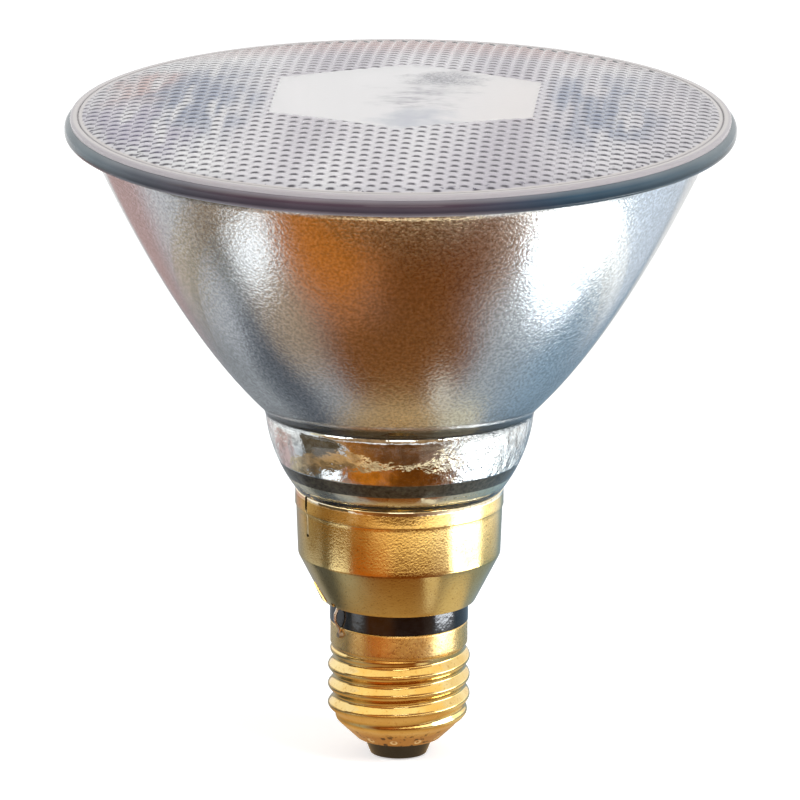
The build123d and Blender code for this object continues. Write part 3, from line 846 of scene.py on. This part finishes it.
def build_lens():
    """The lens as one closed mesh: a fine grid on top, then rings for flange, spigot and inside."""
    x, y = disc_grid(grid_count, dome_radius)
    dome = lens_top_z - lens_radius + np.sqrt(lens_radius**2 - x**2 - y**2)
    z = dome + lens_relief(x, y)
    points = np.stack((x, y, z), axis=2).reshape(-1, 3).tolist()
    side = grid_count + 1
    faces = []
    for i in range(grid_count):
        for j in range(grid_count):
            corner = i * side + j
            faces.append((corner, corner + side, corner + side + 1, corner + 1))
    last = grid_count
    border = [(i, 0) for i in range(last)] + [(last, j) for j in range(last)]
    border += [(i, last) for i in range(last, 0, -1)] + [(0, j) for j in range(last, 0, -1)]
    ring = [i * side + j for i, j in border]
    angles = [math.atan2(points[k][1], points[k][0]) for k in ring]
    groove_start = groove_radius - groove_half
    groove_end = groove_radius + groove_half
    groove = [(groove_start, land_z), (groove_radius, land_z - groove_depth), (groove_end, land_z)]
    spigot = inner_rim_radius - spigot_play
    flange = rounded(
        [
            (groove_end, land_z, 0),
            (lens_flange_radius, land_z, 0.4),
            (lens_flange_radius, seat_z, 0),
            (spigot, seat_z, 0),
        ],
        4,
    )[1:]
    inner_radius = lens_radius - lens_thickness
    inner_top = lens_top_z - lens_radius
    inside = [(r, inner_top + math.sqrt(inner_radius**2 - r**2)) for r in (spigot, 45.0, 34.0, 22.0, 10.0)]
    for r, height in groove + flange + inside:
        start = len(points)
        points += [(r * math.cos(a), r * math.sin(a), height) for a in angles]
        fresh = list(range(start, start + len(angles)))
        for k in range(len(ring)):
            n = (k + 1) % len(ring)
            faces.append((ring[k], fresh[k], fresh[n], ring[n]))
        ring = fresh
    points.append((0.0, 0.0, inner_top + inner_radius))
    for k in range(len(ring)):
        faces.append((ring[k], len(points) - 1, ring[(k + 1) % len(ring)]))
    return mesh_object("front_lens_glass", points, faces, [0] * len(faces), [lens_glass])


lens = build_lens()
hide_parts("front_lens")
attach(lens, "root")


# Screw shell: a rolled brass shell with a knuckle thread and a ring of staking dimples at its foot

thread_root = 12.1
thread_depth = 0.95
crest_z = 7.7
thread_foot_z = 8.8
thread_start_z = 5.9
thread_end_z = collar_foot_z - 0.2
start_fade = 2.6
end_fade = 1.6
shell_hole_radius = 6.45
shell_wall = 0.55
collar_wall = 0.5
collar_run = 0.5


def shell_shift(radius, height, angle):
    """Moves the shell's wall out along the thread's turns, which fade at both ends, and in at the dimples."""
    turn = (height - crest_z) / thread_pitch - angle / (2 * math.pi)
    wave = 0.5 + 0.5 * np.cos(2 * math.pi * turn)
    run_in = np.clip((height - thread_start_z) / start_fade, 0, 1)
    run_out = np.clip((thread_end_z - height) / end_fade, 0, 1)
    pitch_angle = 2 * math.pi / dimple_count
    apart = (angle - dimple_turn + pitch_angle / 2) % pitch_angle - pitch_angle / 2
    off = ((apart * radius) ** 2 + 2 * (height - dimple_z) ** 2) / dimple_size**2
    outside = radius > dimple_face_radius
    thread = thread_depth * wave * run_in * run_out
    dimple = dimple_depth * np.exp(-off) * outside
    return radius + thread - dimple, height


outside_shell = rounded(
    [
        (shell_hole_radius, shell_foot_z + 0.3, 0),
        (6.55, shell_foot_z, 0.15),
        (7.8, shell_foot_z + 0.1, 0.4),
        (10.5, 5.8, 1.5),
        (11.5, 7.1, 2.0),
        (thread_root, thread_foot_z, 1.5),
        (thread_root, collar_foot_z - collar_run, 0),
    ]
)
shell_collar = rounded(
    [
        (thread_root, collar_foot_z - collar_run, 0),
        (collar_radius, collar_foot_z + 0.2, 0.3),
        (collar_radius, collar_top_z, 0.35),
        (ring_bore_radius, collar_top_z, 0),
    ]
)
inside_shell = [
    (ring_bore_radius, collar_top_z - collar_wall),
    (collar_radius - collar_wall, collar_top_z - collar_wall),
    (collar_radius - collar_wall, collar_foot_z + collar_run),
    (thread_root - shell_wall, collar_foot_z - collar_run),
    (thread_root - shell_wall, thread_foot_z),
    (11.0, 7.2),
    (10.0, 6.05),
    (7.6, 3.65),
    (shell_hole_radius, 3.6),
]
shell = lathe(
    "threaded_shell",
    [
        (0, subdivided(outside_shell, 0.14)),
        (1, subdivided(shell_collar, 0.3)),
        (0, subdivided(inside_shell, 0.6)),
    ],
    [shell_brass, collar_brass],
    segments=256,
    shift=shell_shift,
)
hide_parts("screw_shell")
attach(shell, "root")


# Brass skirt: softened edges, a slit in its mouth, a notch in its foot for the lead wire, and a raised tab

skirt_foot_radius = 14.0
shoulder_radius = 18.55
step_radius = 18.9
band_radius = 19.1
skirt_wall = 0.45
slit_angle = math.radians(207.0)
slit_width = 0.8
slit_length = 7.7
notch_width = 1.4
notch_height = 0.9
tab_angle = math.radians(194.0)
tab_width = 3.2
tab_height = 4.0
tab_lift = 0.4
tab_proud = 0.2
tab_root = 0.25
lip_height = 0.8

outside_skirt = rounded(
    [
        (ring_bore_radius, skirt_foot_z, 0),
        (skirt_foot_radius, skirt_foot_z, 0.3),
        (shoulder_radius, shoulder_z, 1.2),
        (step_radius, step_z, 0.1),
        (band_radius, step_z + 0.15, 0.08),
        (band_radius, mouth_z - lip_height, 0),
    ]
)
# The lip takes the pale brass: a painted highlight along the mouth.
skirt_lip = rounded(
    [
        (band_radius, mouth_z - lip_height, 0),
        (band_radius, mouth_z, 0.2),
        (band_radius - skirt_wall, mouth_z, 0.2),
        (band_radius - skirt_wall, mouth_z - lip_height, 0),
    ]
)
inside_skirt = [
    (band_radius - skirt_wall, step_z + skirt_wall),
    (step_radius - skirt_wall, step_z + skirt_wall),
    (shoulder_radius - skirt_wall, shoulder_z),
    (skirt_foot_radius - skirt_wall, skirt_foot_z + skirt_wall),
    (ring_bore_radius, skirt_foot_z + skirt_wall),
]
skirt = lathe(
    "brass_skirt",
    [(0, subdivided(outside_skirt, 0.8)), (1, skirt_lip), (0, subdivided(inside_skirt, 1.5))],
    [skirt_brass, pale_highlight_brass],
    segments=288,
)


def upright_bar(angle, near, far, width, foot):
    """Corners of a flat bar that points out from the axis at an angle."""
    out, aside = level_directions(angle)
    side = aside * width / 2
    up = np.array((0.0, 0.0, foot))
    return [near * out - side + up, far * out - side + up, far * out + side + up, near * out + side + up]


def cone_tab():
    """The tab: a flat triangle that lies on the skirt's cone."""
    out, aside = level_directions(tab_angle)
    upward = np.array((0.0, 0.0, shoulder_z - skirt_foot_z)) + out * (shoulder_radius - skirt_foot_radius)
    upward = upward / np.linalg.norm(upward)
    normal = np.cross(aside, upward)
    cone_foot = out * skirt_foot_radius + np.array((0.0, 0.0, skirt_foot_z))
    foot = cone_foot + upward * tab_lift - normal * tab_root
    corners = [foot - aside * tab_width / 2, foot + aside * tab_width / 2, foot + upward * tab_height]
    return prism("tab", corners, normal * (tab_proud + tab_root), skirt_brass)


# The slit's walls take the pale brass of painted highlight.
slit_bar = upright_bar(slit_angle, band_radius - 1.2, band_radius + 1, slit_width, mouth_z - slit_length)
combine(skirt, prism("slit", slit_bar, (0, 0, slit_length + 1), pale_highlight_brass), "DIFFERENCE")
notch_bar = upright_bar(lead_angle, 12.4, skirt_foot_radius + 0.5, notch_width, skirt_foot_z - 0.3)
combine(skirt, prism("notch", notch_bar, (0, 0, notch_height + 0.3), skirt_brass), "DIFFERENCE")
combine(skirt, cone_tab(), "UNION")
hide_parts("cap_skirt")
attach(skirt, "root")


# Filament: a coil of fine wire between two straight tails


def build_filament():
    """The filament's wire as a round tube along a coil."""
    turns = 22
    coil_length = 11.0
    coil_radius = 0.85
    wire_radius = 0.13
    share = np.linspace(0, 1, turns * 16)
    along = coil_length * (share - 0.5)
    turn = 2 * math.pi * turns * share
    coil = np.stack((along, coil_radius * np.cos(turn), coil_radius * np.sin(turn)), axis=1)
    tail = [(-8.9, 0, 0), (-6.4, 0, 0), (-5.9, 0.4, 0)]
    other_tail = [(-x, y, z) for x, y, z in tail[::-1]]
    path = np.concatenate((tail, coil, other_tail))
    direction, across = level_directions(lead_angle)
    low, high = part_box("filament")
    middle = (np.array(low) + np.array(high)) / 2 / MM
    line = middle + path[:, :1] * direction + path[:, 1:2] * across + path[:, 2:3] * np.array((0.0, 0.0, 1.0))
    curve = bpy.data.curves.new("filament_wire", "CURVE")
    curve.dimensions = "3D"
    spline = curve.splines.new("POLY")
    spline.points.add(len(line) - 1)
    spline.points.foreach_set("co", np.concatenate((line * MM, np.ones((len(line), 1))), axis=1).ravel())
    curve.bevel_depth = wire_radius * MM
    curve.bevel_resolution = 2
    curve.use_fill_caps = True
    curve.materials.append(filament_metal)
    made = bpy.data.objects.new("filament_coil", curve)
    scene.collection.objects.link(made)
    return made


coil = build_filament()
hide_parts("filament")
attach(coil, "root")


# Finishes of the solids that show as they are

wires = ["side_lead_wire", "centre_lead_wire", "filament_post_left", "filament_post_right"]
finishes = [
    (ring_glass, ["insulator_ring", "base_plug"]),
    (shell_brass, ["centre_contact"]),
    (solder_metal, ["contact_solder", "side_weld"]),
    (wire_metal, ["ferrule_left", "ferrule_right"] + wires),
    (tube_glass, ["exhaust_tube"]),
    (cement, ["cap_cement"]),
]
for material, names in finishes:
    for name in names:
        nodes[name].data.materials.clear()
        nodes[name].data.materials.append(material)


# Studio: white floor and surroundings, cards that the bright surfaces mirror, and soft lamps


def seen_directly(tree):
    """1 for rays of the camera, reflections and glass, and 0 for light that falls on surfaces."""
    path = add_node(tree, "ShaderNodeLightPath").outputs
    first = maths(tree, "MAXIMUM", path["Is Camera Ray"], path["Is Glossy Ray"])
    return maths(tree, "MAXIMUM", first, path["Is Transmission Ray"])


def plane(name, middle, size, material):
    """A flat rectangle, in millimetres."""
    w, d = size[0] / 2, size[1] / 2
    corners = [(-w, -d, 0), (w, -d, 0), (w, d, 0), (-w, d, 0)]
    made = mesh_object(name, corners, [(0, 1, 2, 3)], [0], [material])
    made.location = [c * MM for c in middle]
    return made


def floor_material():
    """White floor that takes the lamp's shadow."""
    material, tree = new_material("pale_floor")
    diffuse = add_node(tree, "ShaderNodeBsdfDiffuse", {"Color": (0.85, 0.85, 0.85, 1.0)})
    glow = add_node(tree, "ShaderNodeEmission", {"Strength": spread(tree, seen_directly(tree), 0.0, 0.5)})
    both = add_node(tree, "ShaderNodeAddShader", {0: diffuse.outputs[0], 1: glow.outputs[0]})
    return surfaced(material, both)


# Soft patches of a table and a room around the lamp: middle, half sizes, turn and colour

surroundings = [
    # Behind the lamp: grey, pale and rosy at the left, blue and bright at the right
    ((-60, 60), (220, 240), 0, (0.36, 0.385, 0.41)),
    ((-158, 78), (64, 84), 0, (0.66, 0.68, 0.72)),
    ((-180, 190), (110, 110), 0, (0.62, 0.42, 0.40)),
    ((120, 95), (120, 130), 0, (0.28, 0.40, 0.51)),
    ((168, 122), (84, 96), 0, (0.82, 0.92, 1.05)),
    # At the left: dark, pale, dark and brown
    ((-72, 12), (52, 28), 0, (0.10, 0.115, 0.14)),
    ((-120, 36), (38, 34), 0, (0.56, 0.58, 0.62)),
    ((-130, -8), (30, 16), 0, (0.17, 0.18, 0.17)),
    ((-78, -34), (40, 28), 0, (0.40, 0.30, 0.21)),
    # In front: browns, with orange at the left
    ((-10, -165), (120, 60), 0, (0.20, 0.085, 0.03)),
    ((78, -90), (46, 40), 0, (0.38, 0.23, 0.15)),
    ((24, -100), (66, 46), 0, (0.17, 0.046, 0.004)),
    ((0, -50), (64, 33), 0, (0.21, 0.072, 0.016)),
    ((-62, -96), (56, 44), -12, (0.54, 0.16, 0.012)),
    # Around the foot: two rings of tan, and cream at the right
    ((0, 0), (36, 36), 0, (0.46, 0.30, 0.13)),
    ((0, 0), (21, 21), 0, (0.62, 0.42, 0.22)),
    ((30, 5), (16, 22), 0, (0.75, 0.68, 0.50)),
    # Bright spots: one at the left, two at the right and a small one in front
    ((-111, -47), (22, 32), 0, (1.5, 1.55, 1.6)),
    ((126, -20), (50, 48), 0, (0.95, 1.0, 1.05)),
    ((142, 22), (32, 36), 0, (0.85, 0.95, 1.05)),
    ((24, -28), (7, 12), 0, (0.8, 0.74, 0.62)),
]

# A low band around the lamp, which its upright sides mirror: angle to the right of the front, and colour
band_colours = [
    (-180, (0.27, 0.27, 0.24)),
    (-112, (0.24, 0.19, 0.115)),
    (-88, (0.14, 0.085, 0.036)),
    (-38, (0.27, 0.155, 0.06)),
    (-8, (0.95, 0.72, 0.40)),
    (30, (1.0, 0.84, 0.55)),
    (56, (1.0, 1.0, 1.0)),
    (100, (0.80, 0.80, 0.77)),
    (180, (0.27, 0.27, 0.24)),
]


def surroundings_material():
    """A white ground with the soft patches over it."""
    material, tree = new_material("surroundings")
    place = object_place(tree)
    colour = (1.0, 1.0, 1.0, 1.0)
    for middle, size, turn, tint in surroundings:
        colour = blended(tree, patch(tree, place, middle, size, turn), colour, (*tint, 1.0))
    return glowing(material, colour)


def only_mirrored(made):
    """Hides a stage piece from the camera and from diffuse light: only reflections and glass show it."""
    made.visible_camera = False
    made.visible_diffuse = False
    made.visible_shadow = False


def band_material():
    """The band's colours by angle, with a bright window at the right; it is open behind the lamp."""
    material, tree = new_material("low_band")
    place = parts_of(tree, object_place(tree))
    angle = maths(tree, "ARCTAN2", place["X"], times(tree, place["Y"], -1.0))
    turn = spread(tree, angle, 0.0, 1.0, -math.pi, math.pi)
    colour = ramp(tree, turn, [((degrees + 180) / 360, tint) for degrees, tint in band_colours])
    window_angle = math.radians(77)
    window_strength = 7.0
    off = maths(tree, "ABSOLUTE", maths(tree, "SUBTRACT", angle, window_angle))
    plain = spread(tree, place["Z"], 1.15, 2.4, 8 * MM, 12 * MM)
    strength = spread(tree, off, window_strength, plain, math.radians(17), math.radians(24))
    glow = add_node(tree, "ShaderNodeEmission", {"Color": colour, "Strength": strength})
    clear = add_node(tree, "ShaderNodeBsdfTransparent")
    aside = spread(tree, maths(tree, "ABSOLUTE", angle), 1.0, 0.0, math.radians(118), math.radians(140))
    cover = times(tree, aside, spread(tree, place["Z"], 1.0, 0.0, 21 * MM, 24 * MM))
    both = add_node(tree, "ShaderNodeMixShader", {0: cover, 1: clear.outputs[0], 2: glow.outputs[0]})
    return surfaced(material, both)


def brown_material():
    """Browns from left to right, as of a wooden table's far part."""
    material, tree = new_material("brown_card")
    place = add_node(tree, "ShaderNodeTexCoord").outputs["Generated"]
    parts = parts_of(tree, place)
    stops = [
        (0.0, (0.34, 0.22, 0.11)),
        (0.22, (0.42, 0.16, 0.035)),
        (0.42, (0.17, 0.06, 0.015)),
        (0.62, (0.15, 0.06, 0.02)),
        (0.78, (0.34, 0.24, 0.18)),
        (1.0, (0.75, 0.72, 0.68)),
    ]
    return glowing(material, ramp(tree, parts["X"], stops))


def upright_plane(name, foot, width, height, turn, material):
    """An upright rectangle on a point, in millimetres; at a turn of 0 degrees it faces the front."""
    made = plane(name, (foot[0], foot[1], foot[2] + height / 2), (width, height), material)
    made.rotation_euler = (math.pi / 2, 0.0, math.radians(turn))
    return made


def plain_glow(name, colour, strength):
    """A plain glowing card."""
    return glowing(new_material(name)[0], (*colour, 1.0), strength)


def low_band(radius, foot, top):
    """An open ring just over the floor."""
    angles = np.linspace(0, 2 * math.pi, 96, endpoint=False)
    ring = [(radius * math.cos(a), radius * math.sin(a), foot) for a in angles]
    count = len(ring)
    points = ring + [(x, y, top) for x, y, z in ring]
    faces = [(i, (i + 1) % count, count + (i + 1) % count, count + i) for i in range(count)]
    made = mesh_object("low_band", points, faces, [0] * count, [band_material()])
    return made


plane("floor", (0, 0, -0.2), (12000, 12000), floor_material())
left_glow = plain_glow("left_card", (0.10, 0.075, 0.045), 1.0)
lamp_glow = plain_glow("lamp_card", (0.9, 0.95, 1.0), 11.0)
wall_glow = plain_glow("room_wall", (0.42, 0.26, 0.13), 1.0)
ceiling_glow = plain_glow("room_ceiling", (1.12, 0.97, 0.64), 1.0)
room_lamp_glow = plain_glow("room_lamp", (1.0, 0.95, 0.85), 3.2)
cards = [
    plane("surroundings", (0, 0, -0.1), (1000, 1000), surroundings_material()),
    low_band(radius=128.0, foot=2.0, top=24.0),
    upright_plane("brown_card", (-10, -86, 27.5), 230, 30, 0, brown_material()),
    upright_plane("left_card", (-150, -40, 10), 118, 50, 105, left_glow),
    upright_plane("left_foot_card", (-118, -50, 0), 84, 10, 113, left_glow),
    upright_plane("lamp_card", (100, -21, 0.5), 70, 5, 78, lamp_glow),
    upright_plane("room_wall", (-4000, -2600, 0), 16000, 2600, 0, wall_glow),
    plane("room_ceiling", (-4000, -1300, 2600), (16000, 2600), ceiling_glow),
    upright_plane("room_lamp", (60, -2500, 700), 1200, 1200, 0, room_lamp_glow),
]
for card in cards:
    only_mirrored(card)

world = bpy.data.worlds.new("studio")
scene.world = world
world.use_nodes = True
world.node_tree.nodes.clear()
world_tree = world.node_tree
world_light = spread(world_tree, seen_directly(world_tree), 0.5, 1.0)
white_light = {"Color": (1.0, 1.0, 1.0, 1.0), "Strength": world_light}
background = add_node(world_tree, "ShaderNodeBackground", white_light)
add_node(world_tree, "ShaderNodeOutputWorld", {"Surface": background.outputs[0]})


def softbox(name, place, aim, size, power):
    """A square soft lamp, placed and aimed in millimetres."""
    light = bpy.data.lights.new(name, "AREA")
    light.size = size * MM
    light.energy = power
    made = bpy.data.objects.new(name, light)
    made.location = [c * MM for c in place]
    made.rotation_euler = (Vector(aim) - Vector(place)).to_track_quat("-Z", "Y").to_euler()
    made.visible_glossy = False
    scene.collection.objects.link(made)


softbox("key_lamp", (900, -700, 900), (0, 0, 60), 500, 10.5)
softbox("fill_lamp", (-900, -500, 700), (0, 0, 60), 500, 5.0)


# Camera at the photograph's angle

camera_distance = 2000.0
camera_rise = math.radians(15.25)
camera_roll = math.radians(0.2)
camera_aim = Vector((0.05, 0.0, 67.0))
camera = bpy.data.cameras.new("camera")
camera.sensor_width = 36.0
camera.lens = 492.75
camera.clip_end = 20.0
camera_object = bpy.data.objects.new("camera", camera)
camera_back = Vector((0.0, -math.cos(camera_rise), math.sin(camera_rise)))
camera_place = Matrix.Translation((camera_aim + camera_back * camera_distance) * MM)
camera_tilt = Matrix.Rotation(math.pi / 2 - camera_rise, 4, "X")
camera_object.matrix_world = camera_place @ camera_tilt @ Matrix.Rotation(camera_roll, 4, "Z")
scene.collection.objects.link(camera_object)
scene.camera = camera_object
scene.view_settings.view_transform = "Standard"
